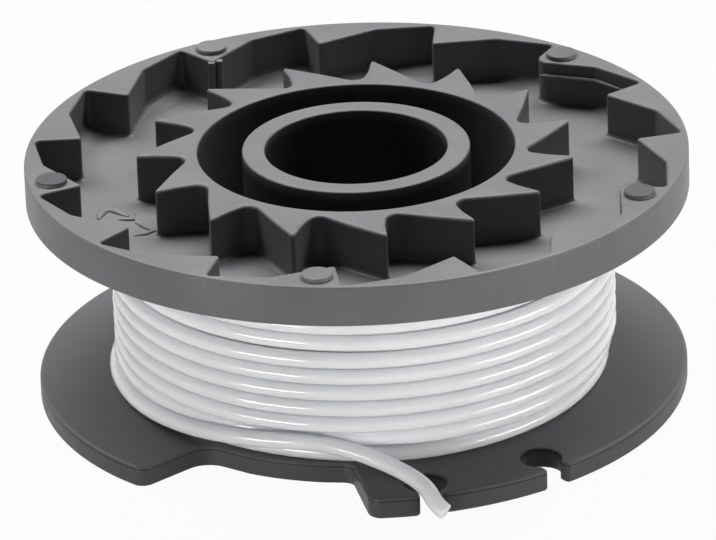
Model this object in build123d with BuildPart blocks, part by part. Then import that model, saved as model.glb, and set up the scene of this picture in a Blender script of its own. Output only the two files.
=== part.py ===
from build123d import *

import os
from math import cos, hypot, pi, radians, sin, tan

# Trimmer line spool: one moulded body with two flanges, a drum between them and two facing
# rings of ratchet teeth on top, wound with nylon line whose free end rests in a notch of the
# lower flange. Millimetres, origin on the bore axis at the lower face, +Z to the ratchet side.

# Line
line_diameter = 1.6
turn_pitch = 1.66  # from turn to turn along the drum
turns_per_layer = 10
layers = 5
top_turns_short = 2  # turns beside the ratchet flange that lie one layer lower
groove_depth = 0.62  # of the grooves between neighbouring turns
crest_width = 0.78  # of the flat on the ridge that stands for a turn

# Free end of the line: points of its centreline from the winding to its cut end
end_points = [
    (-7.7, -22.1, 3.76),
    (-4.3, -22.85, 3.72),
    (-1.0, -23.95, 3.4),
    (2.0, -26.0, 3.0),
    (4.3, -28.6, 2.9),
    (5.75, -30.4, 2.4),
    (6.3, -31.75, 1.35),
]

# Hub, from the bore outwards
bore_radius = 8.8
hub_wall = 2.2
well_width = 4.3
drum_wall = 1.1

# Lower flange
lower_flange_radius = 31.5
lower_flange_thickness = 2.1
lower_flange_top_edge = 0.4
lower_flange_bottom_edge = 0.3
recess_radius = 23.6
recess_wall_one = (229.3, 226.7)  # degrees at the recess floor and at the rim
recess_wall_two = (266.4, 271.1)
recess_corner_one = 2.4
recess_corner_two = 1.2
lobe_corner = 1.4

# Line notches in the lower flange
notch_angles = (280.9, 304.9)
notch_hole_radius = 2.0
notch_hole_from_axis = 28.7
notch_slot_width = 2.1
notch_lip = 0.5

# Ratchet flange
rim_radius = 32.0
rim_height = 3.95
rim_edge = 0.35
dish_depth = 4.4
dish_floor_thickness = 1.2
dish_flat_radius = 29.2  # where the floor starts to rise to the rim
dish_edge_depth = 3.3
underside_flat_radius = 28.3
crown_rise = 0.35  # inner teeth and hub tube above the rim

# Ratchet teeth
tooth_count = 15
outer_tip_radius = 27.0
outer_root_radius = 31.5
outer_knee_radius = 30.1
outer_first_angle = 1.0
outer_root_angle = 1.8  # degrees past the tip
outer_knee_angle = 12.5
outer_tip_round = 0.3
blunt_tip_rounds = {2: 1.3, 13: 0.8, 14: 1.0}  # of the teeth whose tips are rounder
outer_root_round = 0.5
inner_tip_radius = 21.5
inner_valley_radius = 16.9
inner_first_angle = 13.2
inner_valley_angle = 7.3
inner_flank_bulge = 0.35
inner_tip_round = 0.25
inner_valley_round = 1.1

# Ejector pads on every third outer tooth
pad_count = 5
pad_radius = 1.5
pad_height = 0.45
pad_to_rim = 0.8  # from a pad's edge to the rim's
pad_first_angle = 46.1

# Worked out from the above
hub_radius = bore_radius + hub_wall
well_radius = hub_radius + well_width
drum_radius = well_radius + drum_wall
underside = lower_flange_thickness + turns_per_layer * turn_pitch
dish_floor = underside + dish_floor_thickness
rim_top = dish_floor + dish_depth
crown_top = rim_top + crown_rise
tooth_step = 360 / tooth_count
pad_from_axis = rim_radius - pad_to_rim - pad_radius
picking_room = 0.3  # how far from its radius a corner of an outline may be picked
arc_share = 0.45  # of the shorter run that an arc of the free end may take
line_radius = line_diameter / 2
outer_layer = drum_radius + line_radius + (layers - 1) * line_diameter

os.makedirs("parts", exist_ok=True)


def polar(radius, angle):
    """A point of a sketch from its distance and its direction in degrees."""
    return (radius * cos(radians(angle)), radius * sin(radians(angle)))


def near_radius(vertices, radius, within=picking_room):
    """The corners of an outline that lie about that far from the axis."""
    return [v for v in vertices if abs(hypot(v.X, v.Y) - radius) < within]


def route_radii(points):
    """The largest tangent arc that each corner of a route has room for, in order."""
    corners = [Vector(point) for point in points]
    radii = []
    for before, here, after in zip(corners, corners[1:], corners[2:]):
        shorter = min((here - before).length, (after - here).length)
        turn = radians((here - before).get_angle(after - here))
        radii.append(arc_share * shorter / tan(turn / 2))
    return radii


# Outline of the inner ring of teeth
with BuildSketch() as crown_outline:
    with BuildLine():
        for tooth in range(tooth_count):
            tip = inner_first_angle + tooth * tooth_step
            tip_point = polar(inner_tip_radius, tip)
            valley_point = polar(inner_valley_radius, tip + inner_valley_angle)
            next_tip = polar(inner_tip_radius, tip + tooth_step)
            Line(tip_point, valley_point)
            SagittaArc(valley_point, next_tip, inner_flank_bulge)
    make_face()
    fillet(near_radius(crown_outline.vertices(), inner_valley_radius), inner_valley_round)
    fillet(near_radius(crown_outline.vertices(), inner_tip_radius), inner_tip_round)

# Outline of the outer ring of teeth
with BuildSketch() as rim_outline:
    with BuildLine():
        for tooth in range(tooth_count):
            tip = outer_first_angle + tooth * tooth_step
            tip_point = polar(outer_tip_radius, tip)
            root_point = polar(outer_root_radius, tip + outer_root_angle)
            knee_point = polar(outer_knee_radius, tip + outer_knee_angle)
            next_tip = polar(outer_tip_radius, tip + tooth_step)
            Polyline(tip_point, root_point, knee_point, next_tip)
    make_face()
    for tooth in range(tooth_count):
        tip_point = polar(outer_tip_radius, outer_first_angle + tooth * tooth_step)
        corner = rim_outline.vertices().sort_by_distance(tip_point)[0]
        fillet(corner, blunt_tip_rounds.get(tooth, outer_tip_round))
    fillet(near_radius(rim_outline.vertices(), outer_root_radius), outer_root_round)

# Pocket between the two rings, its floor rising to the rim, to be cut out of the flange
with BuildPart() as dish:
    with BuildSketch(Plane.XY.offset(underside)):
        add(rim_outline.sketch)
        add(crown_outline.sketch, mode=Mode.SUBTRACT)
    extrude(amount=crown_top - underside)
    with BuildSketch(Plane.XZ):
        Polygon(
            (well_radius, dish_floor),
            (dish_flat_radius, dish_floor),
            (rim_radius, rim_top - dish_edge_depth),
            (rim_radius, crown_top),
            (well_radius, crown_top),
            align=None,
        )
    revolve(axis=Axis.Z, mode=Mode.INTERSECT)

# Lower flange with its recess and line notches
with BuildSketch() as lower_outline:
    Circle(lower_flange_radius)
    with BuildLine():
        mouth_radius = lower_flange_radius + 2 * lobe_corner
        recess_start = polar(recess_radius, recess_wall_one[0])
        recess_end = polar(recess_radius, recess_wall_two[0])
        mouth_one = polar(mouth_radius, recess_wall_one[1])
        mouth_two = polar(mouth_radius, recess_wall_two[1])
        half_mouth = (recess_wall_two[1] - recess_wall_one[1]) / 2
        mouth_middle = polar(mouth_radius / cos(radians(half_mouth)), recess_wall_one[1] + half_mouth)
        RadiusArc(recess_start, recess_end, -recess_radius)
        Polyline(recess_end, mouth_two, mouth_middle, mouth_one, recess_start)
    make_face(mode=Mode.SUBTRACT)
    inner_corners = ShapeList(near_radius(lower_outline.vertices(), recess_radius)).sort_by(Axis.X)
    fillet(inner_corners.first, recess_corner_one)
    inner_corners = ShapeList(near_radius(lower_outline.vertices(), recess_radius)).sort_by(Axis.X)
    fillet(inner_corners.last, recess_corner_two)
    outer_corners = near_radius(lower_outline.vertices(), lower_flange_radius)
    fillet([corner for corner in outer_corners if corner.Y < 0], lobe_corner)
    for angle in notch_angles:
        slot_length = lower_flange_radius - notch_hole_from_axis + notch_slot_width
        with Locations(polar(notch_hole_from_axis, angle)):
            Circle(notch_hole_radius, mode=Mode.SUBTRACT)
        with Locations(Location(polar(notch_hole_from_axis, angle), angle)):
            Rectangle(slot_length, notch_slot_width, align=(Align.MIN, Align.CENTER), mode=Mode.SUBTRACT)
    mouths = near_radius(lower_outline.vertices(), lower_flange_radius)
    fillet([corner for corner in mouths if corner.X > notch_slot_width], notch_lip)
    Circle(bore_radius, mode=Mode.SUBTRACT)

# Moulded body
with BuildPart() as spool_body:
    with BuildSketch():
        add(lower_outline.sketch)
    extrude(amount=lower_flange_thickness)
    flange_faces = spool_body.faces().filter_by(Axis.Z).sort_by(Axis.Z)
    fillet(flange_faces.last.outer_wire().edges(), lower_flange_top_edge)
    flange_faces = spool_body.faces().filter_by(Axis.Z).sort_by(Axis.Z)
    fillet(flange_faces.first.outer_wire().edges(), lower_flange_bottom_edge)
    with BuildSketch(Plane.XZ):
        Polygon(
            (bore_radius, 0),
            (hub_radius, 0),
            (hub_radius, crown_top),
            (bore_radius, crown_top),
            align=None,
        )
        Polygon(
            (well_radius, 0),
            (drum_radius, 0),
            (drum_radius, underside),
            (underside_flat_radius, underside),
            (rim_radius, rim_top - rim_height),
            (rim_radius, rim_top),
            (well_radius, rim_top),
            align=None,
        )
    revolve(axis=Axis.Z)
    rim_circles = spool_body.edges().filter_by(GeomType.CIRCLE).sort_by(SortBy.RADIUS)
    fillet([circle for circle in rim_circles if abs(circle.radius - rim_radius) < picking_room], rim_edge)
    with BuildSketch(Plane.XY.offset(rim_top)):
        add(crown_outline.sketch)
        Circle(well_radius, mode=Mode.SUBTRACT)
    extrude(amount=crown_rise)
    add(dish.part, mode=Mode.SUBTRACT)
    with BuildSketch(Plane.XY.offset(rim_top)):
        with PolarLocations(pad_from_axis, pad_count, start_angle=pad_first_angle):
            Circle(pad_radius)
    extrude(amount=pad_height)

spool_body.part.label = "spool_body"
export_step(spool_body.part, "parts/spool_body.step")

# Wound line, its outer turns as ridges
with BuildPart() as line_winding:
    with BuildSketch(Plane.XZ):
        with BuildLine():
            base = (drum_radius, lower_flange_thickness)
            outside = outer_layer + line_radius
            last = (outside - groove_depth, lower_flange_thickness)
            Line(base, last)
            for turn in range(turns_per_layer):
                one_layer_lower = turn >= turns_per_layer - top_turns_short
                crest = outside - line_diameter if one_layer_lower else outside
                foot = (crest - groove_depth, lower_flange_thickness + turn * turn_pitch)
                if foot[0] != last[0]:
                    Line(last, foot)
                last = (foot[0], foot[1] + turn_pitch)
                flank = (turn_pitch - crest_width) / 2
                Polyline(foot, (crest, foot[1] + flank), (crest, last[1] - flank), last)
            Polyline(last, (drum_radius, underside), base)
        make_face()
    revolve(axis=Axis.Z)

line_winding.part.label = "line_winding"
export_step(line_winding.part, "parts/line_winding.step")

# Free end of the line, from the lowest turns out through the first notch
with BuildPart() as line_end:
    with BuildLine() as end_route:
        FilletPolyline(*end_points, radius=route_radii(end_points))
    with BuildSketch(Plane(origin=end_route.line @ 0, z_dir=end_route.line % 0)):
        Circle(line_radius)
    sweep()
    tube_volume = line_end.part.volume
    add(line_winding.part, mode=Mode.SUBTRACT)
line_end.part.label = "line_end"
export_step(line_end.part, "parts/line_end.step")

length = end_route.wire().length
print("radii of the free end", [round(radius, 1) for radius in route_radii(end_points)])
print("tube volume over section times length", round(tube_volume / (pi * line_radius**2 * length), 4))
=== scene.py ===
"""Trimmer line spool: a moulded spool body wound with translucent nylon line.

The moulding's skin is grown ring by ring from the drum up round the ratchet flange, across its
two rings of teeth and down through the bore. The lower flange's edge is a skin of its own, and
two flat faces join it to the first. The line is one length, wound on the drum in layers, with
its free end led out over the lower flange.
Lengths are in millimetres until a mesh is made, and in metres from there on.
"""

import logging
from collections.abc import Callable, Sequence
from dataclasses import dataclass, field
from enum import Enum
from math import atan2, cos, degrees, hypot, pi, radians, sin, tan

import bmesh
import bpy
from mathutils import Matrix, Vector

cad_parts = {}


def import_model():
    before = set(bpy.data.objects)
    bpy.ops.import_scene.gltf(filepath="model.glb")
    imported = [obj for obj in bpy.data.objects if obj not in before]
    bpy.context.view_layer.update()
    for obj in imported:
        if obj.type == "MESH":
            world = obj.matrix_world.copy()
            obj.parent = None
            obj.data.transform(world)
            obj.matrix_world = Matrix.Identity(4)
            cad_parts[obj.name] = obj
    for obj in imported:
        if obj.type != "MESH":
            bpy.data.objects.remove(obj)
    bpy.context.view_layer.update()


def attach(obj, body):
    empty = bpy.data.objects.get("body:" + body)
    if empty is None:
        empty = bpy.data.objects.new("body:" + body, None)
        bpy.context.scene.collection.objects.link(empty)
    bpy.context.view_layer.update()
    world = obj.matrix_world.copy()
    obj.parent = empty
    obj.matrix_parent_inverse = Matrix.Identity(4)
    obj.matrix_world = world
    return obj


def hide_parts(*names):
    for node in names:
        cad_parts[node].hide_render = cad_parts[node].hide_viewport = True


log = logging.getLogger("trimmer_spool")

MM = 0.001
BODY = "root"

# How far from a level a point may lie, in metres, and the least upward part of a top's normal.
LEVEL_WITHIN = 2e-6
UPWARDS = 0.9

Point = tuple[float, float]
Place = tuple[float, float, float]
Colour = tuple[float, float, float]
Node = bpy.types.Node
Socket = bpy.types.NodeSocket
MeshPart = bmesh.types.BMEdge | bmesh.types.BMFace
Piece = bpy.types.Object

FADES_IN: Point = (0.0, 1.0)
FADES_OUT: Point = (1.0, 0.0)


def polar(radius: float, angle: float) -> Point:
    """A plan point from its distance to the axis and its direction in degrees."""
    return (radius * cos(radians(angle)), radius * sin(radians(angle)))


def smooth(share: float) -> float:
    """Eases a share between 0 and 1 in and out."""
    held = min(max(share, 0.0), 1.0)
    return held * held * (3 - 2 * held)


def leave_edit_mode() -> None:
    """Goes back to object mode if a mesh is being edited."""
    if bpy.context.mode != "OBJECT":
        bpy.ops.object.mode_set(mode="OBJECT")


def select_only(piece: Piece) -> None:
    """Makes one object the only selected and the active one.

    Args:
        piece: The object.
    """
    leave_edit_mode()
    bpy.ops.object.select_all(action="DESELECT")
    piece.select_set(True)
    bpy.context.view_layer.objects.active = piece


def edit(piece: Piece) -> None:
    """Starts to edit a piece's mesh with nothing of it selected.

    Args:
        piece: The piece.
    """
    select_only(piece)
    bpy.ops.object.mode_set(mode="EDIT")
    bpy.ops.mesh.select_all(action="DESELECT")


class Pick(Enum):
    """What is picked in a mesh."""

    EDGE = "EDGE"
    FACE = "FACE"


def pick(piece: Piece, kind: Pick, fits: Callable[[MeshPart], bool]) -> None:
    """Starts to edit a piece's mesh with those of its edges or faces selected that fit.

    Args:
        piece: The piece.
        kind: Whether edges or faces are selected.
        fits: Tells of an edge or face whether it is selected.
    """
    edit(piece)
    bpy.ops.mesh.select_mode(type=kind.value)
    mesh = bmesh.from_edit_mesh(piece.data)
    for part in mesh.edges if kind is Pick.EDGE else mesh.faces:
        part.select_set(fits(part))
    bmesh.update_edit_mesh(piece.data)


def is_level(part: MeshPart, height: float) -> bool:
    """Whether all the points of an edge or face lie at a height in metres."""
    return all(abs(vertex.co.z - height) < LEVEL_WITHIN for vertex in part.verts)


class Course(Enum):
    """How a tube runs between the points of its course, by the kind of its spline."""

    STRAIGHT = "POLY"
    CURVED = "NURBS"


def tube(
    name: str, course: Course, places: Sequence[Place], radius: float, section_steps: int
) -> Piece:
    """Makes a round tube as a curve.

    Args:
        name: The piece's name.
        course: How the tube runs between the places.
        places: The places that it is led by, in millimetres.
        radius: Its radius, in millimetres.
        section_steps: How finely its section is rounded.

    Returns:
        The piece.
    """
    curve = bpy.data.curves.new(name, "CURVE")
    curve.dimensions = "3D"
    spline = curve.splines.new(course.value)
    spline.points.add(len(places) - 1)
    for point, place in zip(spline.points, places):
        point.co = (*(value * MM for value in place), 1.0)
    curve.bevel_depth = radius * MM
    curve.bevel_resolution = section_steps
    curve.use_fill_caps = True
    piece = bpy.data.objects.new(name, curve)
    bpy.context.scene.collection.objects.link(piece)
    return piece


@dataclass(frozen=True)
class Corner:
    """One corner of a profile or outline, with the arc that rounds it."""

    x: float
    y: float
    rounding: float = 0.0
    arc_steps: int = 0
    run_steps: int = 1


def turned(vector: Vector, angle: float) -> Vector:
    """A plane vector turned by an angle in radians."""
    along, aside = cos(angle), sin(angle)
    return Vector((vector.x * along - vector.y * aside, vector.x * aside + vector.y * along))


def part_way(start: Point, end: Point, share: float) -> Point:
    """The point a share of the way from one point to another."""
    return (start[0] + (end[0] - start[0]) * share, start[1] + (end[1] - start[1]) * share)


def at_height(height: float, *points: Point) -> tuple[Place, ...]:
    """Plan points as places at one height."""
    return tuple((x, y, height) for x, y in points)


def beside_run(start: Point, end: Point, out: float) -> Point:
    """The middle of a run between two points, moved to the right of its course."""
    run = Vector((end[0] - start[0], end[1] - start[1])).normalized()
    return ((start[0] + end[0]) / 2 + run.y * out, (start[1] + end[1]) / 2 - run.x * out)


@dataclass(frozen=True)
class Outline:
    """A row of corners that can be read at a distance beside itself, always with as many points."""

    corners: tuple[Corner, ...]
    closed: bool = True
    side: int = 1
    least_rounding: float = 0.02
    most_of_run: float = 0.49

    def points(self, beside: float = 0.0) -> list[Point]:
        """Reads the outline as points.

        Args:
            beside: How far from the outline, positive to the left of its course for side 1.

        Returns:
            The points in order, the same number at every distance.
        """
        places = self._moved(beside * self.side)
        last = len(places) - 1
        found: list[Point] = []
        for index, corner in enumerate(self.corners):
            here = places[index]
            if not self.closed and index in (0, last):
                found.append((here.x, here.y))
            else:
                found += self._arc(places, index, corner, beside * self.side)
        if not self.closed:
            return found
        return self._with_runs(found)

    def _moved(self, beside: float) -> list[Vector]:
        """The corners of the parallel outline.

        Args:
            beside: How far the parallel outline lies to the left.

        Returns:
            The corners in order.
        """
        plain = [Vector((corner.x, corner.y)) for corner in self.corners]
        if not beside:
            return plain
        moved = []
        for index, here in enumerate(plain):
            before = (here - plain[index - 1]).normalized()
            after = (plain[(index + 1) % len(plain)] - here).normalized()
            left_before = Vector((-before.y, before.x))
            left_after = Vector((-after.y, after.x))
            apart = 1 + left_before.dot(left_after)
            moved.append(here + (left_before + left_after) * beside / apart)
        return moved

    def _arc(self, places: list[Vector], index: int, corner: Corner, beside: float) -> list[Point]:
        """The points of one corner's rounding.

        Args:
            places: The corners of the outline that is being read.
            index: The corner's place among them.
            corner: The corner.
            beside: How far that outline lies beside the first one.

        Returns:
            The arc's points, or the corner alone where it isn't rounded.
        """
        here = places[index]
        if not corner.arc_steps:
            return [(here.x, here.y)]
        arriving = here - places[index - 1]
        leaving = places[(index + 1) % len(places)] - here
        room = min(arriving.length, leaving.length) * self.most_of_run
        arriving.normalize()
        leaving.normalize()
        turn = atan2(arriving.x * leaving.y - arriving.y * leaving.x, arriving.dot(leaving))
        hand = 1 if turn > 0 else -1
        rounding = max(corner.rounding - hand * beside, self.least_rounding)
        reach = min(rounding * tan(abs(turn) / 2), room)
        rounding = reach / tan(abs(turn) / 2)
        start = here - arriving * reach
        centre = start + Vector((-arriving.y, arriving.x)) * rounding * hand
        spoke = start - centre
        steps = range(corner.arc_steps + 1)
        arc = [centre + turned(spoke, turn * step / corner.arc_steps) for step in steps]
        return [(point.x, point.y) for point in arc]

    def _with_runs(self, found: list[Point]) -> list[Point]:
        """Adds the points of the straight runs between the roundings of a closed outline.

        Args:
            found: The points of all the roundings, in order.

        Returns:
            The same points, with those of the runs between them.
        """
        full: list[Point] = []
        place = 0
        for corner in self.corners:
            place += corner.arc_steps + 1
            full += found[place - corner.arc_steps - 1 : place]
            start = found[place - 1]
            end = found[place % len(found)]
            for step in range(1, corner.run_steps):
                full.append(part_way(start, end, step / corner.run_steps))
        return full


def profile(*corners: tuple[float, ...]) -> list[Point]:
    """An open profile from corners: distance, height and, where rounded, radius and steps.

    Args:
        corners: The corners in order.

    Returns:
        The profile's points, roundings included.
    """
    made = []
    for corner in corners:
        rounding = corner[2] if len(corner) > 2 else 0.0
        steps = int(corner[3]) if len(corner) > 3 else 0
        made.append(Corner(corner[0], corner[1], rounding, steps))
    return Outline(tuple(made), closed=False).points()


@dataclass(frozen=True)
class Tooth:
    """How one tooth of the outer ring, and the gap after it, differ from their neighbours."""

    tip_round: float = 0.3
    tip_out: float = 0.0
    knee_radius: float = 30.1
    knee_angle: float = 12.5
    knee_round: float = 1.3


@dataclass(frozen=True)
class Rib:
    """A low rounded rib on the moulding, half sunk in it, along points of its course."""

    radius: float
    course: tuple[Place, ...]
    flatness: float = 1.0
    end_share: float = 0.4


@dataclass
class RatchetFlange:
    """The upper flange: a dished disc with two facing rings of saw teeth."""

    tooth_count: int = 15
    rim_radius: float = 32.0
    rim_top: float = 24.3
    rim_height: float = 3.95
    rim_round: float = 0.25
    floor_height: float = 19.9
    floor_flat_radius: float = 29.2
    floor_edge_height: float = 21.0
    underside_height: float = 18.7
    underside_flat_radius: float = 28.3
    crown_top: float = 24.65
    outer_tip_radius: float = 27.0
    outer_root_radius: float = 31.5
    outer_first_angle: float = 1.0
    outer_root_angle: float = 1.8
    inner_tip_radius: float = 21.5
    inner_valley_radius: float = 16.05
    inner_first_angle: float = 13.2
    inner_valley_angle: float = 2.4
    inner_back_bulge: float = 0.1
    inner_flank_hollow: float = 0.22
    edge_round: float = 0.28
    foot_round: float = 0.8
    foot_steps: int = 4
    foot_land: float = 1.1
    outer_root_round: float = 0.5
    outer_steps: tuple[tuple[int, int], ...] = ((5, 5), (8, 7), (6, 4))
    inner_rounds: tuple[float, ...] = (26.0, 0.25, 8.0, 1.2)
    inner_steps: tuple[tuple[int, int], ...] = ((5, 5), (6, 2), (4, 2), (8, 3))
    odd_teeth: dict[int, Tooth] = field(
        default_factory=lambda: {
            2: Tooth(tip_round=1.3),
            12: Tooth(knee_radius=31.2, knee_angle=15.5, knee_round=0.8),
            13: Tooth(tip_round=1.6, tip_out=-0.4),
            14: Tooth(tip_round=1.0),
        }
    )

    @property
    def step(self) -> float:
        """Degrees from tooth to tooth."""
        return 360 / self.tooth_count

    def outer_teeth(self) -> Outline:
        """The ring of teeth that points inwards, read counter-clockwise from a root.

        Returns:
            The ring's outline.
        """
        corners = []
        for index in range(self.tooth_count):
            gap = self.odd_teeth.get(index, Tooth())
            after = self.odd_teeth.get((index + 1) % self.tooth_count, Tooth())
            angle = self.outer_first_angle + index * self.step
            root = polar(self.outer_root_radius, angle + self.outer_root_angle)
            knee = polar(gap.knee_radius, angle + gap.knee_angle)
            tip = polar(self.outer_tip_radius + after.tip_out, angle + self.step)
            rounds = (self.outer_root_round, gap.knee_round, after.tip_round)
            for place, rounding, steps in zip((root, knee, tip), rounds, self.outer_steps):
                corners.append(Corner(*place, rounding, *steps))
        return Outline(tuple(corners))

    def inner_teeth(self) -> Outline:
        """The ring of teeth that points outwards, read counter-clockwise from a back's middle.

        Returns:
            The ring's outline.
        """
        corners = []
        for index in range(self.tooth_count):
            angle = self.inner_first_angle + index * self.step
            tip = polar(self.inner_tip_radius, angle)
            valley = polar(self.inner_valley_radius, angle + self.inner_valley_angle)
            before = polar(self.inner_valley_radius, angle + self.inner_valley_angle - self.step)
            back = beside_run(before, tip, self.inner_back_bulge)
            flank = beside_run(tip, valley, -self.inner_flank_hollow)
            places = (back, tip, flank, valley)
            for place, rounding, steps in zip(places, self.inner_rounds, self.inner_steps):
                corners.append(Corner(*place, rounding, *steps))
        return Outline(tuple(corners), side=-1)

    def floor_at(self, radius: float) -> float:
        """The height of the dished floor at a distance from the axis."""
        rise = (radius - self.floor_flat_radius) / (self.rim_radius - self.floor_flat_radius)
        return self.floor_height + max(rise, 0.0) * (self.floor_edge_height - self.floor_height)


@dataclass
class Hub:
    """The hub: a tube round the bore, an annular well and the drum that the line is wound on."""

    bore_radius: float = 8.8
    tube_radius: float = 11.0
    well_radius: float = 15.3
    drum_radius: float = 16.4
    well_floor: float = 2.1
    edge_round: float = 0.2
    drum_round: float = 0.4
    well_round: float = 0.5
    crown_land: float = 0.6
    underside_radius: float = 13.0


@dataclass
class LowerFlange:
    """The lower flange: a flat disc with a wide recess and two keyhole notches for the line.

    What ends in room is in degrees: how far a circle's points stay away from a rounded corner.
    """

    radius: float = 31.5
    thickness: float = 2.1
    top_round: float = 0.3
    bottom_round: float = 0.3
    round_steps: int = 4
    recess_radius: float = 23.6
    recess_first: Point = (229.3, 226.7)
    recess_last: Point = (266.4, 271.1)
    recess_round: Point = (2.4, 1.2)
    recess_steps: tuple[int, int] = (10, 8)
    recess_room: Point = (12.0, 6.5)
    mouth_radius: float = 34.3
    lobe_round: float = 1.4
    lobe_steps: int = 10
    lobe_room: float = 6.0
    notch_angles: tuple[float, ...] = (280.9, 304.9)
    notch_hole_radius: float = 2.0
    notch_from_axis: float = 28.7
    notch_half_width: float = 1.05
    notch_steps: int = 14
    notch_lip: float = 0.5
    lip_steps: int = 4
    lip_room: float = 2.2
    step: float = 2.0
    halvings: int = 30

    def outline(self) -> Outline:
        """The flange's outline, read counter-clockwise from the recess's last wall.

        Returns:
            The outline.
        """
        start = self._mouth(self.recess_last)
        stop = self._mouth(self.recess_first)
        corners = [Corner(*start, self.lobe_round, self.lobe_steps)]
        here = self._angle(start) + self.lobe_room
        for angle in self.notch_angles:
            half = degrees(self.notch_half_width / self.radius)
            corners += self._along(self.radius, here, angle - half - self.lip_room)
            corners += self._notch(angle)
            here = angle + half + self.lip_room
        corners += self._along(self.radius, here, self._angle(stop) + 360 - self.lobe_room)
        corners.append(Corner(*stop, self.lobe_round, self.lobe_steps))
        first, last = self.recess_first[0], self.recess_last[0]
        foot, floor = polar(self.recess_radius, first), polar(self.recess_radius, last)
        corners.append(Corner(*foot, self.recess_round[0], self.recess_steps[0]))
        room = self.recess_room
        corners += self._along(self.recess_radius, first + room[0], last - room[1])
        corners.append(Corner(*floor, self.recess_round[1], self.recess_steps[1]))
        return Outline(tuple(corners))

    def wall(self) -> list[Point]:
        """The edge's section as distance into the flange and height, from the top face down.

        Returns:
            The section's points.
        """
        inset = 2 * self.top_round
        section = profile(
            (inset, self.thickness),
            (0.0, self.thickness, self.top_round, self.round_steps),
            (0.0, 0.0, self.bottom_round, self.round_steps),
            (inset, 0.0),
        )
        return section[1:-1]

    def _angle(self, point: Point) -> float:
        """The direction of a point from the axis, in degrees from 0 to 360."""
        return degrees(atan2(point[1], point[0])) % 360

    def _along(self, radius: float, first: float, last: float) -> list[Corner]:
        """Plain corners along a circle round the axis.

        Args:
            radius: The circle's radius.
            first: The first corner's direction in degrees.
            last: The last corner's direction in degrees.

        Returns:
            The corners, no further apart than the flange's step asks.
        """
        count = max(round((last - first) / self.step), 1)
        angles = [first + (last - first) * index / count for index in range(count + 1)]
        return [Corner(*polar(radius, angle)) for angle in angles]

    def _mouth(self, wall: Point) -> Point:
        """Where a wall of the recess, given by its two directions, meets the flange's rim.

        Args:
            wall: The wall's directions at the recess's floor and at its mouth.

        Returns:
            The corner's plan point.
        """
        inner = Vector(polar(self.recess_radius, wall[0]))
        outer = Vector(polar(self.mouth_radius, wall[1]))
        low, high = 0.0, 1.0
        for _ in range(self.halvings):
            middle = (low + high) / 2
            if inner.lerp(outer, middle).length < self.radius:
                low = middle
            else:
                high = middle
        point = inner.lerp(outer, low)
        return (point.x, point.y)

    def _notch(self, angle: float) -> list[Corner]:
        """The corners of one keyhole notch, from its first lip round the hole to its last.

        Args:
            angle: The notch's direction in degrees.

        Returns:
            The corners in order.
        """
        ahead = Vector(polar(1.0, angle))
        aside = Vector((-ahead.y, ahead.x))
        lip = (self.radius**2 - self.notch_half_width**2) ** 0.5
        neck = (self.notch_hole_radius**2 - self.notch_half_width**2) ** 0.5
        first_lip = ahead * lip - aside * self.notch_half_width
        last_lip = ahead * lip + aside * self.notch_half_width
        half_gap = degrees(atan2(self.notch_half_width, neck))
        corners = [Corner(*first_lip, self.notch_lip, self.lip_steps)]
        for index in range(self.notch_steps + 1):
            turn = radians(-half_gap - (360 - 2 * half_gap) * index / self.notch_steps)
            spoke = (ahead * cos(turn) + aside * sin(turn)) * self.notch_hole_radius
            corners.append(Corner(*(ahead * self.notch_from_axis + spoke)))
        corners.append(Corner(*last_lip, self.notch_lip, self.lip_steps))
        return corners


class Skin:
    """A skin that is grown ring by ring, each ring with the same number of points."""

    spoke_layer = "spoke"

    def __init__(self, name: str, ring: Sequence[Place]) -> None:
        """Starts the skin from its first ring.

        Args:
            name: The piece's name.
            ring: The first ring's places.
        """
        leave_edit_mode()
        bpy.ops.object.select_all(action="DESELECT")
        bpy.ops.mesh.primitive_circle_add(vertices=len(ring), radius=MM)
        self.piece = bpy.context.object
        self.piece.name = name
        bpy.ops.object.mode_set(mode="EDIT")
        mesh = bmesh.from_edit_mesh(self.piece.data)
        spokes = mesh.verts.layers.int.new(self.spoke_layer)
        for index, vertex in enumerate(mesh.verts):
            vertex[spokes] = index
        self._place(ring)

    def _place(self, ring: Sequence[Place]) -> None:
        """Puts the selected ring's points where they belong.

        Args:
            ring: The ring's places.
        """
        mesh = bmesh.from_edit_mesh(self.piece.data)
        spokes = mesh.verts.layers.int[self.spoke_layer]
        for vertex in mesh.verts:
            if vertex.select:
                vertex.co = Vector(ring[vertex[spokes]]) * MM
        bmesh.update_edit_mesh(self.piece.data)

    def grow(self, ring: Sequence[Place]) -> None:
        """Extrudes the last ring to the next one."""
        bpy.ops.mesh.extrude_edges_move()
        self._place(ring)

    def finish(self) -> Piece:
        """Leaves edit mode and gives the piece.

        Returns:
            The piece.
        """
        leave_edit_mode()
        self.piece.data.attributes.remove(self.piece.data.attributes[self.spoke_layer])
        return self.piece


def grown(name: str, rings: Sequence[Sequence[Place]]) -> Piece:
    """A skin that is grown from the first of its rings to the last.

    Args:
        name: The piece's name.
        rings: The rings' places, as many in each.

    Returns:
        The piece.
    """
    skin = Skin(name, rings[0])
    for ring in rings[1:]:
        skin.grow(ring)
    return skin.finish()


def on_circle(directions: Sequence[float], radius: float, height: float) -> list[Place]:
    """A ring of points on a circle, in given directions."""
    return [(radius * cos(angle), radius * sin(angle), height) for angle in directions]


def directions_of(points: Sequence[Point]) -> list[float]:
    """The directions of points from the axis, in radians, each past the one before it.

    Args:
        points: The points, in order round the axis.

    Returns:
        Their directions.
    """
    least_step = 0.0004
    found = [atan2(point[1], point[0]) for point in points]
    rising = [found[0]]
    for angle in found[1:]:
        while angle < rising[-1] - pi:
            angle += 2 * pi
        rising.append(max(angle, rising[-1] + least_step))
    return rising


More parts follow.
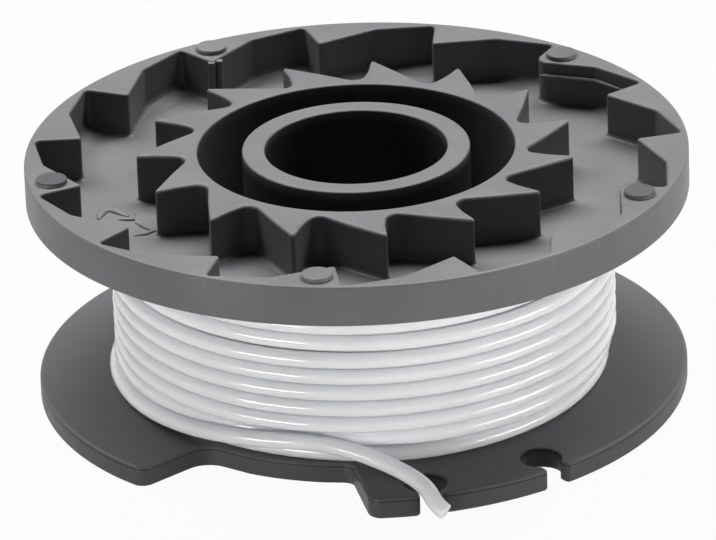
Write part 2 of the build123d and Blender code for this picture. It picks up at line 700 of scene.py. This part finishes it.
@dataclass
class SpoolBody:
    """The moulded body: ratchet flange, hub and lower flange, with its pads and ribs."""

    flange: RatchetFlange = field(default_factory=RatchetFlange)
    hub: Hub = field(default_factory=Hub)
    foot: LowerFlange = field(default_factory=LowerFlange)
    node: str = "spool_body"
    name: str = "spool_moulding"
    pad_count: int = 5
    pad_radius: float = 1.5
    pad_height: float = 0.45
    pad_from_axis: float = 29.7
    pad_first_angle: float = 46.1
    pad_edge_round: float = 0.16
    pad_sunk: float = 0.3
    pad_sides: int = 48
    floor_circles: Point = (25.4, 23.3)
    first_floor_share: float = 0.15
    rim_land: float = 1.2
    face_border: float = 0.25
    edge_steps: int = 3
    merge_distance: float = 0.001
    sharp_from: float = 40.0
    flat_face_weight: int = 90
    split_tip: tuple[Rib, ...] = (
        Rib(0.36, ((-13.98, 23.3, 24.15), (-13.98, 23.3, 19.8)), end_share=1.0),
        Rib(0.36, ((-13.2, 23.72, 24.15), (-13.2, 23.72, 19.8)), end_share=1.0),
    )
    ledge: Rib = Rib(
        0.3,
        at_height(22.8, (18.4, 20.1), (19.0, 19.85), (20.76, 19.24), (23.8, 18.18), (26.33, 15.76)),
    )
    arrow: tuple[Rib, ...] = (
        Rib(
            0.42,
            at_height(
                19.9,
                (-24.94, -4.4), (-24.8, -3.6), (-24.5, -2.8), (-24.05, -2.4), (-23.5, -2.6),
                (-22.9, -3.2), (-22.1, -4.0),
            ),
            flatness=0.7,
        ),
        Rib(
            0.3,
            at_height(19.9, (-23.05, -4.65), (-22.3, -4.8), (-21.62, -4.85), (-21.6, -3.5)),
            flatness=0.75,
        ),
        Rib(
            0.3,
            at_height(
                19.9, (-21.4, -5.5), (-20.6, -6.5), (-19.6, -7.7), (-20.4, -8.35), (-21.5, -8.6)
            ),
            flatness=0.75,
        ),
    )

    def build(self) -> Piece:
        """Makes the whole moulding.

        Returns:
            The finished piece.
        """
        skin = self._grow_skin()
        edge = self._lower_edge()
        pads = [self._pad(index) for index in range(self.pad_count)]
        ribs = [self._rib(rib) for rib in (*self.split_tip, self.ledge, *self.arrow)]
        select_only(skin)
        for piece in (edge, *pads, *ribs):
            piece.select_set(True)
        bpy.ops.object.join()
        self._close_faces(skin)
        self._shade(skin)
        skin.name = self.name
        return skin

    def dress(self, piece: Piece) -> None:
        """Gives the moulding its plastic."""
        piece.data.materials.clear()
        piece.data.materials.append(CharcoalPlastic().make())

    def _grow_skin(self) -> Piece:
        """Grows the skin from the drum's foot round both rings of teeth to the underside.

        Returns:
            The skin, open at the lower flange.
        """
        flange, hub = self.flange, self.hub
        outer, inner = flange.outer_teeth(), flange.inner_teeth()
        outer_ways = directions_of(outer.points())
        inner_ways = directions_of(inner.points())
        rim_edge = (flange.rim_round, self.edge_steps)
        drum = profile(
            (hub.drum_radius, hub.well_floor),
            (hub.drum_radius, flange.underside_height, hub.drum_round, self.edge_steps),
            (flange.underside_flat_radius, flange.underside_height),
            (flange.rim_radius, flange.rim_top - flange.rim_height, *rim_edge),
            (flange.rim_radius, flange.rim_top, *rim_edge),
            (flange.rim_radius - 2 * flange.rim_round, flange.rim_top),
        )[:-1]
        limit = flange.rim_radius - self.rim_land * flange.rim_round
        downwards = self._wall(flange.rim_top, inwards=True)
        upwards = self._wall(flange.crown_top, inwards=False)
        outer_wall = [self._teeth_ring(outer, *step, limit) for step in downwards]
        inner_wall = [self._teeth_ring(inner, *step, limit) for step in upwards]
        edge, well = (hub.edge_round, self.edge_steps), (hub.well_round, self.edge_steps)
        tube_section = profile(
            (hub.well_radius + hub.crown_land, flange.crown_top),
            (hub.well_radius, flange.crown_top, *edge),
            (hub.well_radius, hub.well_floor, *well),
            (hub.tube_radius, hub.well_floor, *well),
            (hub.tube_radius, flange.crown_top, *edge),
            (hub.bore_radius, flange.crown_top, *edge),
            (hub.bore_radius, 0.0, *edge),
            (hub.underside_radius, 0.0),
        )
        rings = [on_circle(outer_ways, *step) for step in drum]
        rings += [*outer_wall, *self._floor_rings(outer_wall[-1], inner_wall[0]), *inner_wall]
        rings += [on_circle(inner_ways, *step) for step in tube_section]
        return grown(self.name, rings)

    def _floor_rings(self, outer_foot: list[Place], inner_foot: list[Place]) -> list[list[Place]]:
        """Rings across the dished floor, from the outer teeth's foot to the inner teeth's foot.

        Args:
            outer_foot: The last ring of the outer teeth.
            inner_foot: The first ring of the inner teeth.

        Returns:
            The rings, whose points run straight out from the axis so that no two runs cross.
        """
        level, outermost = self.flange.floor_height, self.flange.floor_flat_radius
        outer_ways = directions_of([place[:2] for place in outer_foot])
        inner_ways = directions_of([place[:2] for place in inner_foot])
        outer_circle, inner_circle = self.floor_circles
        edge = []
        for way, (x, y, _) in zip(outer_ways, outer_foot):
            foot = hypot(x, y)
            radius = min(foot - (foot - outer_circle) * self.first_floor_share, outermost)
            edge.append((radius * cos(way), radius * sin(way), level))
        outer, inner = (outer_ways, outer_circle, level), (inner_ways, inner_circle, level)
        return [edge, on_circle(*outer), on_circle(*inner)]

    def _wall(self, top: float, inwards: bool) -> list[Point]:
        """A toothed wall's section, as distance beside its outline and height.

        It is read from the top down where the skin comes inwards, and else from the foot up.

        Args:
            top: The height of the wall's top edge.
            inwards: Whether the skin comes inwards over this wall.

        Returns:
            The section's points.
        """
        flange = self.flange
        section = profile(
            (-2 * flange.edge_round, top),
            (0.0, top, flange.edge_round, self.edge_steps),
            (0.0, flange.floor_height, flange.foot_round, flange.foot_steps),
            (flange.foot_land * flange.foot_round, flange.floor_height),
        )
        return section[1:] if inwards else section[:0:-1]

    def _teeth_ring(
        self, teeth: Outline, beside: float, height: float, limit: float
    ) -> list[Place]:
        """One ring of points along a toothed wall, lifted where the floor rises to the rim.

        Args:
            teeth: The outline of the teeth.
            beside: How far from that outline the ring runs.
            height: The ring's height on the flat part of the floor.
            limit: The greatest distance from the axis.

        Returns:
            The ring's places.
        """
        flange = self.flange
        ring = []
        for x, y in teeth.points(beside):
            radius = hypot(x, y)
            if radius > limit:
                x, y = x * limit / radius, y * limit / radius
            lift = 0.0
            if height < (flange.floor_height + flange.rim_top) / 2:
                lift = flange.floor_at(min(radius, limit)) - flange.floor_height
            ring.append((x, y, height + lift))
        return ring

    def _lower_edge(self) -> Piece:
        """The lower flange's edge with its recess and notches.

        Returns:
            The edge, open where the flat faces join it.
        """
        outline = self.foot.outline()
        rings = [at_height(height, *outline.points(inset)) for inset, height in self.foot.wall()]
        return grown("edge", rings)

    def _pad(self, index: int) -> Piece:
        """One raised disc on the rim.

        Args:
            index: Which pad it is, counted from the first.

        Returns:
            The disc.
        """
        angle = self.pad_first_angle + index * 360 / self.pad_count
        x, y = polar(self.pad_from_axis, angle)
        depth = self.pad_height + self.pad_sunk
        middle = self.flange.rim_top + self.pad_height - depth / 2
        bpy.ops.object.select_all(action="DESELECT")
        bpy.ops.mesh.primitive_cylinder_add(
            vertices=self.pad_sides,
            radius=self.pad_radius * MM,
            depth=depth * MM,
            location=(x * MM, y * MM, middle * MM),
        )
        pad = bpy.context.object
        bpy.ops.object.transform_apply(location=True, rotation=True, scale=True)
        pick(pad, Pick.FACE, lambda face: face.normal.z > UPWARDS)
        bpy.ops.mesh.bevel(
            offset=self.pad_edge_round * MM, segments=self.edge_steps, affect="EDGES"
        )
        leave_edit_mode()
        return pad

    def _rib(self, rib: Rib) -> Piece:
        """One rounded rib as a mesh.

        Args:
            rib: The rib.

        Returns:
            Its mesh.
        """
        piece = tube("rib", Course.STRAIGHT, rib.course, rib.radius, self.edge_steps)
        for end in (0, -1):
            piece.data.splines[0].points[end].radius = rib.end_share
        select_only(piece)
        bpy.ops.object.convert(target="MESH")
        piece = bpy.context.object
        if rib.flatness < 1:
            edit(piece)
            bpy.ops.mesh.select_all(action="SELECT")
            foot = (0.0, 0.0, rib.course[0][2] * MM)
            bpy.ops.transform.resize(value=(1.0, 1.0, rib.flatness), center_override=foot)
            leave_edit_mode()
        return piece

    def _close_faces(self, piece: Piece) -> None:
        """Fills the two flat faces of the lower flange between its edge and the hub.

        Args:
            piece: The moulding, open at the lower flange.
        """
        for height in (self.hub.well_floor * MM, 0.0):
            pick(piece, Pick.EDGE, lambda line, z=height: line.is_boundary and is_level(line, z))
            bpy.ops.mesh.fill(use_beauty=True)
            bpy.ops.mesh.inset(thickness=self.face_border * MM, use_boundary=True)
        bpy.ops.mesh.select_all(action="SELECT")
        bpy.ops.mesh.remove_doubles(threshold=self.merge_distance * MM)
        bpy.ops.mesh.normals_make_consistent(inside=False)
        leave_edit_mode()

    def _shade(self, piece: Piece) -> None:
        """Smooths the roundings and keeps the flat faces flat.

        Args:
            piece: The moulding.
        """
        select_only(piece)
        bpy.ops.object.shade_smooth_by_angle(angle=radians(self.sharp_from))
        floor = self.flange.floor_height * MM
        pick(piece, Pick.FACE, lambda face: is_level(face, floor))
        bpy.ops.mesh.faces_shade_flat()
        leave_edit_mode()
        modifier = piece.modifiers.new("flat_faces", "WEIGHTED_NORMAL")
        modifier.keep_sharp = True
        modifier.weight = self.flat_face_weight
        bpy.ops.object.modifier_apply(modifier=modifier.name)


@dataclass(frozen=True)
class Rest:
    """Where a turn of line lies for most of its way round: its layer, its radius and its height."""

    layer: int
    radius: float
    height: float


@dataclass
class WoundLine:
    """The nylon line: five layers on the drum and the free end led into a notch.

    Each run is a layer with its first and last row. The tables give, for each of the lowest rows,
    directions and how far the outer turns are moved out there. The last turn is led by direction,
    distance and height.
    """

    diameter: float = 1.6
    facet_room: float = 0.04
    pitch: float = 1.66
    first_radius: float = 17.2
    lowest: float = 2.93
    runs: tuple[tuple[int, int, int], ...] = (
        (0, 9, 0), (1, 0, 9), (2, 9, 8), (3, 9, 8), (2, 7, 0), (3, 0, 6), (4, 7, 0),
    )
    points_per_turn: int = 16
    curve_order: int = 3
    steps_per_point: int = 4
    section_steps: int = 4
    shift_zone: Point = (130.0, 190.0)
    climb_zone: Point = (262.0, 306.0)
    lean: float = 0.3
    top_rows_from: float = 7.0
    top_rows_out: float = 1.15
    low_rows_out: tuple[tuple[Point, ...], ...] = (
        (
            (150.0, -0.1), (180.0, -1.35), (225.0, -1.35), (262.0, -1.05), (276.0, -0.2),
            (345.0, -0.5), (510.0, -0.1),
        ),
        (
            (150.0, -0.1), (205.0, -0.3), (228.0, -0.95), (243.0, -1.35), (262.0, -1.35),
            (276.0, -0.2), (510.0, -0.1),
        ),
    )
    last_turn: tuple[Place, ...] = (
        (147.5, 23.6, 2.96), (168.0, 23.8, 2.95), (188.0, 23.9, 2.98), (208.0, 23.9, 3.08),
        (227.0, 23.87, 3.5), (243.0, 23.75, 4.05), (253.0, 23.6, 4.32),
    )
    name: str = "nylon_line"
    nodes: tuple[str, str] = ("line_winding", "line_end")
    free_end: tuple[Place, ...] = (
        (-4.3, -23.1, 4.2), (-1.0, -24.1, 3.65), (2.0, -26.0, 3.1), (4.3, -28.6, 2.9),
        (5.65, -30.35, 2.4), (6.3, -31.7, 1.45), (7.15, -32.25, 0.95),
    )
    length: float = field(default=0.0, init=False)

    def rests(self) -> list[Rest]:
        """Where each turn lies, from the first on the drum to the last.

        Returns:
            The turns in the order in which they are wound.
        """
        found = []
        for layer, first, last in self.runs:
            radius = self.first_radius + layer * self.diameter
            way = 1 if last > first else -1
            rows = range(first, last + way, way)
            found += [Rest(layer, radius, self.lowest + row * self.pitch) for row in rows]
        return found

    def points(self) -> list[Place]:
        """The line's control points, from its start on the drum to its free end.

        Returns:
            The control points.
        """
        rests = self.rests()
        outer_layer = rests[-1].layer
        outer_start = sum(rest.layer < outer_layer for rest in rests)
        begin, end = self.shift_zone
        step = 360 / self.points_per_turn
        count = int((len(rests) * 360 - (end - begin)) / step)
        found = []
        for index in range(count + 1):
            angle = end + index * step
            turn, way = divmod(angle - begin, 360)
            turn = int(turn)
            before = rests[max(turn - 1, 0)]
            now = rests[min(turn, len(rests) - 1)]
            shift = self._through(way + begin, self.shift_zone)
            climb = self._through(way + begin, self.climb_zone) if turn == outer_start else shift
            layer = before.layer + (now.layer - before.layer) * climb
            radius = before.radius + (now.radius - before.radius) * climb
            height = before.height + (now.height - before.height) * shift
            row = (height - self.lowest) / self.pitch
            radius += self._pressed_out(angle, row) * layer / outer_layer
            near_top = smooth(row - self.top_rows_from + 1)
            next_out = smooth(1 - abs(layer - outer_layer + 1))
            radius += self.top_rows_out * (near_top * next_out)
            found.append(self._on_way(angle, radius, height, step))
        return found + self._last_turn() + list(self.free_end)

    def _through(self, angle: float, zone: Point) -> float:
        """How far an angle has come through a zone, eased."""
        return smooth((angle - zone[0]) / (zone[1] - zone[0]))

    def _pressed_out(self, angle: float, row: float) -> float:
        """How far an outer turn lies outside its layer's radius, in a direction and at a row.

        Args:
            angle: The direction in degrees.
            row: The row, whole or between two rows.

        Returns:
            The distance, negative where the turn is pressed in.
        """
        upper = self.lean * cos(radians(angle))
        shifts = [*(self._read(table, angle) for table in self.low_rows_out), upper]
        below = min(int(max(row, 0.0)), len(shifts) - 1)
        above = min(below + 1, len(shifts) - 1)
        return shifts[below] + (shifts[above] - shifts[below]) * smooth(row - below)

    def _read(self, table: Sequence[Point], angle: float) -> float:
        """Reads a table of directions and distances at one direction.

        Args:
            table: The table, which goes once round.
            angle: The direction in degrees.

        Returns:
            The distance.
        """
        way = table[0][0] + (angle - table[0][0]) % 360
        for (start, first), (stop, last) in zip(table, table[1:]):
            if start <= way <= stop:
                return first + (last - first) * smooth((way - start) / (stop - start))
        return table[-1][1]

    def _on_way(self, angle: float, radius: float, height: float, step: float) -> Place:
        """A control point whose curve runs at a radius, with points that many degrees apart."""
        return (*polar(radius / cos(radians(step) / 2), angle), height)

    def _last_turn(self) -> list[Place]:
        """The way of the last turn, over the two lowest ones, to the free end.

        Returns:
            The control points.
        """
        angles = [place[0] for place in self.last_turn]
        steps = [after - here for here, after in zip(angles, angles[1:])]
        steps.append(steps[-1])
        return [self._on_way(*place, step) for place, step in zip(self.last_turn, steps)]

    def build(self) -> Piece:
        """Makes the line as one curve.

        Returns:
            The finished piece.
        """
        points = self.points()
        radius = (self.diameter + self.facet_room) / 2
        piece = tube(self.name, Course.CURVED, points, radius, self.section_steps)
        spline = piece.data.splines[0]
        spline.order_u = self.curve_order
        spline.use_endpoint_u = True
        spline.use_smooth = True
        piece.data.resolution_u = self.steps_per_point
        self.length = spline.calc_length(resolution=self.steps_per_point)
        log.info("%s is %.2f m long in %d points", self.name, self.length, len(points))
        return piece

    def dress(self, piece: Piece) -> None:
        """Gives the line its nylon."""
        piece.data.materials.append(ClearNylon().make())


class Sum(Enum):
    """The sums that a material does, by their names in a math node."""

    MULTIPLY = "MULTIPLY"
    MAXIMUM = "MAXIMUM"
    ABSOLUTE = "ABSOLUTE"


class Measure(Enum):
    """What a place on the moulding is measured by."""

    ACROSS = "how far it is to either side"
    HEIGHT = "its height"
    RADIUS = "its distance from the axis"


class Nodes:
    """Short calls for the nodes of one material or world."""

    noise_range: Point = (0.3, 0.7)

    def __init__(self, owner: bpy.types.Material | bpy.types.World, output: str) -> None:
        """Empties a material or world down to its output.

        Args:
            owner: The material or world.
            output: The kind of its output node.
        """
        owner.use_nodes = True
        self.tree = owner.node_tree
        self.tree.nodes.clear()
        self.output = self.tree.nodes.new(output)

    def add(self, kind: str, **inputs: Socket | float | Sequence[float]) -> Node:
        """Adds a node and feeds its inputs by name, with underscores for spaces.

        Args:
            kind: The kind of node.
            inputs: What each named input is given.

        Returns:
            The node.
        """
        node = self.tree.nodes.new(kind)
        for name, value in inputs.items():
            self.feed(node.inputs[name.replace("_", " ")], value)
        return node

    def feed(self, target: Socket, value: Socket | float | Sequence[float]) -> None:
        """Gives an input the output of another node, or a value.

        Args:
            target: The input.
            value: The output or the value.
        """
        if isinstance(value, Socket):
            self.tree.links.new(value, target)
        else:
            target.default_value = value

    def surface(self, shader: Node) -> None:
        """Joins a shader to the output."""
        self.feed(self.output.inputs["Surface"], shader.outputs[0])

    def noise(self, scale: float, detail: float) -> Socket:
        """A noise that sits still on the piece.

        Args:
            scale: How fine it is.
            detail: How many finer layers it has.

        Returns:
            The noise's value.
        """
        point = self.add("ShaderNodeTexCoord").outputs["Object"]
        noise = self.add("ShaderNodeTexNoise", Vector=point, Scale=scale, Detail=detail)
        return noise.outputs["Fac"]

    def streaks(self, across: float, along: float, detail: float) -> Socket:
        """A noise drawn out level round the axis, sitting still on the piece.

        Args:
            across: How fine it is up and down.
            along: How fine it is in plan.
            detail: How many finer layers it has.

        Returns:
            The noise's value.
        """
        point = self.add("ShaderNodeTexCoord").outputs["Object"]
        drawn = self.add("ShaderNodeMapping", Vector=point, Scale=(along, along, across))
        noise = self.add("ShaderNodeTexNoise", Scale=1.0, Detail=detail, Roughness=0.6)
        self.feed(noise.inputs["Vector"], drawn.outputs["Vector"])
        return noise.outputs["Fac"]

    def spread(self, noise: Socket, gives: Point) -> Socket:
        """Spreads a noise between two values."""
        return self.ramp(noise, self.noise_range, gives)

    def ramp(self, source: Socket, reads: Point, gives: Point) -> Socket:
        """Maps a value from one range to another and holds it there.

        Args:
            source: The value.
            reads: The range that it is read in.
            gives: The range that it is given.

        Returns:
            The mapped value.
        """
        node = self.add("ShaderNodeMapRange", Value=source)
        for name, value in zip(("From Min", "From Max", "To Min", "To Max"), (*reads, *gives)):
            node.inputs[name].default_value = value
        return node.outputs["Result"]

    def math(self, kind: Sum, *values: Socket | float) -> Socket:
        """Does one sum with sockets or numbers.

        Args:
            kind: The sum.
            values: What it is done with.

        Returns:
            Its result.
        """
        node = self.add("ShaderNodeMath")
        node.operation = kind.value
        for target, value in zip(node.inputs, values):
            self.feed(target, value)
        return node.outputs[0]

    def rays(self) -> tuple[Socket, Socket]:
        """Two values: 1 on the camera's own rays, and 1 on mirrored and bent ones.

        Returns:
            The two values.
        """
        path = self.add("ShaderNodeLightPath").outputs
        mirrored = self.math(Sum.MAXIMUM, path["Is Glossy Ray"], path["Is Transmission Ray"])
        return path["Is Camera Ray"], mirrored

    def place(self) -> dict[Measure, Socket]:
        """A point's place on the piece, in metres.

        Returns:
            A value for each measure.
        """
        point = self.add("ShaderNodeTexCoord").outputs["Object"]
        parts = self.add("ShaderNodeSeparateXYZ", Vector=point)
        flat = self.add("ShaderNodeVectorMath", Vector=point)
        flat.operation = "MULTIPLY"
        flat.inputs[1].default_value = (1.0, 1.0, 0.0)
        radius = self.add("ShaderNodeVectorMath", Vector=flat.outputs["Vector"])
        radius.operation = "LENGTH"
        return {
            Measure.ACROSS: self.math(Sum.ABSOLUTE, parts.outputs["X"]),
            Measure.HEIGHT: parts.outputs["Z"],
            Measure.RADIUS: radius.outputs["Value"],
        }

    def mix(self, factor: Socket, one: Colour | Socket, other: Colour) -> Socket:
        """Mixes a colour or a socket with a second colour by a factor.

        Args:
            factor: The second colour's share.
            one: The first colour.
            other: The second colour.

        Returns:
            The mixed colour.
        """
        node = self.add("ShaderNodeMix")
        node.data_type = "RGBA"
        self.feed(node.inputs[0], factor)
        self.feed(node.inputs[6], one if isinstance(one, Socket) else (*one, 1.0))
        self.feed(node.inputs[7], (*other, 1.0))
        return node.outputs[2]

    def mix_shaders(self, factor: Socket, one: Node, other: Node) -> Node:
        """Mixes two shaders by a factor.

        Args:
            factor: The second shader's share.
            one: The first shader.
            other: The second shader.

        Returns:
            The mixed shader.
        """
        node = self.add("ShaderNodeMixShader")
        for target, value in zip(node.inputs, (factor, one.outputs[0], other.outputs[0])):
            self.feed(target, value)
        return node


@dataclass(frozen=True)
class Fade:
    """Where a zone ends: its colour fades out, or in, between two distances in metres."""

    measure: Measure
    reads: Point
    gives: Point = FADES_OUT


@dataclass(frozen=True)
class PaintedShadeZone:
    """A part of the moulding whose colour is darkened as painted shade."""

    colour: Colour
    fades: tuple[Fade, ...]


@dataclass(frozen=True)
class CharcoalPlastic:
    """Satin charcoal plastic with the fine grain of a moulding tool.

    Its zones paint shade into the colour. In order: painted shade in the well and the bore,
    painted shade on the pads at the sides, painted shade on the lower flange under the upper one,
    darker painted shade on that flange's side, and a thin painted dark reflection round the top of
    that side.
    """

    dark: Colour = (0.115, 0.116, 0.122)
    light: Colour = (0.14, 0.141, 0.146)
    roughness: Point = (0.42, 0.5)
    painted_shade_zones: tuple[PaintedShadeZone, ...] = (
        # Painted shade: the well and the bore are darkened to near black, for the shade in their
        # hollows.
        PaintedShadeZone(
            (0.03, 0.03, 0.032),
            (Fade(Measure.HEIGHT, (0.0236, 0.0245)), Fade(Measure.RADIUS, (0.0151, 0.0156))),
        ),
        # Painted shade: the pads at the sides are darker than the rim round them.
        PaintedShadeZone(
            (0.062, 0.063, 0.068),
            (
                Fade(Measure.HEIGHT, (0.0245, 0.0246), FADES_IN),
                Fade(Measure.RADIUS, (0.0255, 0.026), FADES_IN),
                Fade(Measure.ACROSS, (0.018, 0.024), FADES_IN),
            ),
        ),
        # Painted shade: the whole lower flange is darker, for the shade of the upper flange above
        # it.
        PaintedShadeZone((0.1, 0.1, 0.104), (Fade(Measure.HEIGHT, (0.0022, 0.0026)),)),
        # Painted shade: the lower flange's side is darker still than its top.
        PaintedShadeZone((0.058, 0.058, 0.061), (Fade(Measure.HEIGHT, (0.0018, 0.00205)),)),
        # Painted dark reflection: a thin dark line round the top of the lower flange's side, below
        # its rounded edge.
        PaintedShadeZone(
            (0.02, 0.02, 0.021),
            (
                Fade(Measure.HEIGHT, (0.00166, 0.00172), FADES_IN),
                Fade(Measure.HEIGHT, (0.00184, 0.0019)),
            ),
        ),
    )

    def make(self) -> bpy.types.Material:
        """Builds the material.

        Returns:
            The material.
        """
        material = bpy.data.materials.new("charcoal_plastic")
        nodes = Nodes(material, "ShaderNodeOutputMaterial")
        cloud = nodes.spread(nodes.noise(scale=90.0, detail=3.0), FADES_IN)
        colour = nodes.mix(cloud, self.dark, self.light)
        place = nodes.place()
        # Each zone darkens the plastic to paint in shade that the lamps don't give.
        for zone in self.painted_shade_zones:
            share, *others = [
                nodes.ramp(place[fade.measure], fade.reads, fade.gives) for fade in zone.fades
            ]
            for other in others:
                share = nodes.math(Sum.MULTIPLY, share, other)
            colour = nodes.mix(share, colour, zone.colour)
        grain = nodes.noise(scale=5200.0, detail=2.0)
        bump = nodes.add("ShaderNodeBump", Strength=0.25, Distance=0.00002, Height=grain)
        shader = nodes.add(
            "ShaderNodeBsdfPrincipled",
            Base_Color=colour,
            Roughness=nodes.spread(nodes.noise(scale=400.0, detail=4.0), self.roughness),
            IOR=1.5,
            Specular_IOR_Level=0.22,
            Normal=bump.outputs["Normal"],
        )
        nodes.surface(shader)
        return material


@dataclass(frozen=True)
class ClearNylon:
    """Translucent nylon line, milky white with a cool cast."""

    milky: Colour = (0.88, 0.9, 0.985)
    clear: Colour = (0.965, 0.972, 1.0)
    depth: float = 2.9
    roughness: Point = (0.1, 0.17)

    def make(self) -> bpy.types.Material:
        """Builds the material.

        Returns:
            The material.
        """
        material = bpy.data.materials.new("clear_nylon")
        nodes = Nodes(material, "ShaderNodeOutputMaterial")
        streaks = nodes.spread(nodes.streaks(across=2400.0, along=60.0, detail=2.0), FADES_IN)
        shader = nodes.add(
            "ShaderNodeBsdfPrincipled",
            Base_Color=nodes.mix(streaks, self.milky, self.clear),
            Roughness=nodes.spread(nodes.noise(scale=900.0, detail=3.0), self.roughness),
            IOR=1.53,
            Subsurface_Weight=0.9,
            Subsurface_Radius=(1.0, 1.0, 1.05),
            Subsurface_Scale=self.depth * MM,
        )
        nodes.surface(shader)
        return material


@dataclass(frozen=True)
class StudioWhite:
    """White paper that reads as white to the camera and still takes a soft shadow."""

    own_light: float = 0.96
    paper: float = 0.3

    def make(self) -> bpy.types.Material:
        """Builds the material.

        Returns:
            The material.
        """
        material = bpy.data.materials.new("studio_white")
        nodes = Nodes(material, "ShaderNodeOutputMaterial")
        paper = nodes.add("ShaderNodeBsdfDiffuse", Color=(self.paper, self.paper, self.paper, 1.0))
        glow = nodes.add("ShaderNodeEmission", Color=(1.0, 1.0, 1.0, 1.0), Strength=1.0)
        seen = nodes.math(Sum.MAXIMUM, *nodes.rays())
        share = nodes.math(Sum.MULTIPLY, seen, self.own_light)
        nodes.surface(nodes.mix_shaders(share, paper, glow))
        return material


@dataclass(frozen=True)
class Lamp:
    """A rectangular lamp: its direction in degrees, its size in metres and its power in watts."""

    name: str
    azimuth: float
    elevation: float
    size: Point
    power: float


@dataclass
class Studio:
    """Floor, world, lamps and the camera at the photograph's angle.

    The lamps are a soft key over the back and a low strip at each side.
    """

    focal_px: float = 8112.78
    frame_width_px: float = 716.0
    sensor: float = 36.0
    unit: float = 32.0
    distance: float = 24.4
    elevation: float = 24.307
    roll: float = -2.0603
    across: float = -0.0057638
    up: float = 0.3618873
    centre_height: float = 24.3
    seen_from: float = 0.05
    seen_to: float = 20.0
    floor_size: float = 6.0
    floor_drop: float = 0.00005
    room_tint: tuple[float, ...] = (0.85, 0.92, 1.0, 1.0)
    room_strength: float = 0.03
    ceiling: Point = (0.15, 0.4)
    lamp_distance: float = 1.0
    aim_height: float = 0.012
    lamps: tuple[Lamp, ...] = (
        Lamp("key", 90.0, 64.0, (1.5, 0.5), 29.0),
        Lamp("left_strip", 228.0, 0.75, (0.52, 0.026), 6.0),
        Lamp("right_strip", 337.0, 0.75, (0.7, 0.026), 7.2),
    )

    def build(self) -> None:
        """Sets up the studio."""
        self._camera()
        self._floor()
        self._world()
        for lamp in self.lamps:
            self._lamp(lamp)
        bpy.context.scene.view_settings.view_transform = "Standard"

    def _camera(self) -> None:
        """Places the camera as the photograph's perspective gives it."""
        tilt, roll = radians(self.elevation), radians(self.roll)
        ahead = Vector((0, cos(tilt), -sin(tilt)))
        right = Vector((1, 0, 0))
        upward = Vector((0, sin(tilt), cos(tilt)))
        frame_right = right * cos(roll) + upward * sin(roll)
        frame_up = upward * cos(roll) - right * sin(roll)
        offset = -frame_right * self.across - frame_up * self.up - ahead * self.distance
        place = (offset * self.unit + Vector((0, 0, self.centre_height))) * MM
        data = bpy.data.cameras.new("camera")
        data.sensor_width = self.sensor
        data.lens = self.focal_px / self.frame_width_px * self.sensor
        data.clip_start, data.clip_end = self.seen_from, self.seen_to
        camera = bpy.data.objects.new("camera", data)
        turn = Matrix((frame_right, frame_up, -ahead)).transposed()
        camera.matrix_world = Matrix.Translation(place) @ turn.to_4x4()
        bpy.context.scene.collection.objects.link(camera)
        bpy.context.scene.camera = camera

    def _floor(self) -> None:
        """A wide white floor, a little below the spool so that the two don't share a plane."""
        bpy.ops.object.select_all(action="DESELECT")
        bpy.ops.mesh.primitive_plane_add(size=self.floor_size, location=(0, 0, -self.floor_drop))
        floor = bpy.context.object
        floor.name = "floor"
        floor.data.materials.append(StudioWhite().make())

    def _world(self) -> None:
        """A dim room with a dark ceiling and a backdrop that is white to the camera and mirrors."""
        world = bpy.data.worlds.new("room")
        bpy.context.scene.world = world
        nodes = Nodes(world, "ShaderNodeOutputWorld")
        dim = nodes.add("ShaderNodeBackground", Color=self.room_tint, Strength=self.room_strength)
        white = nodes.add("ShaderNodeBackground", Strength=1.0)
        camera, mirrored = nodes.rays()
        way = nodes.add("ShaderNodeTexCoord").outputs["Generated"]
        upward = nodes.add("ShaderNodeSeparateXYZ", Vector=way).outputs["Z"]
        ceiling = nodes.ramp(upward, self.ceiling, FADES_OUT)
        seen = nodes.math(Sum.MAXIMUM, camera, nodes.math(Sum.MULTIPLY, mirrored, ceiling))
        nodes.surface(nodes.mix_shaders(seen, dim, white))

    def _lamp(self, lamp: Lamp) -> None:
        """Adds one lamp that points at the spool.

        Args:
            lamp: The lamp's place, size and power.
        """
        level, height = polar(self.lamp_distance, lamp.elevation)
        place = (*polar(level, lamp.azimuth), height)
        data = bpy.data.lights.new(lamp.name, "AREA")
        data.shape = "RECTANGLE"
        data.size, data.size_y = lamp.size
        data.energy = lamp.power
        piece = bpy.data.objects.new(lamp.name, data)
        piece.location = place
        aim = Vector((0, 0, self.aim_height)) - Vector(place)
        piece.rotation_euler = aim.to_track_quat("-Z", "Y").to_euler()
        bpy.context.scene.collection.objects.link(piece)


def main() -> None:
    """Builds the spool, its line and the studio, and reports each piece."""
    logging.basicConfig(level=logging.INFO, format="%(name)s: %(message)s")
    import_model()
    Studio().build()
    body = SpoolBody()
    moulding = body.build()
    body.dress(moulding)
    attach(moulding, BODY)
    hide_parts(body.node)
    log.info("%s has %d faces", moulding.name, len(moulding.data.polygons))
    line = WoundLine()
    strand = line.build()
    line.dress(strand)
    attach(strand, BODY)
    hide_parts(*line.nodes)


if __name__ == "__main__":
    main()
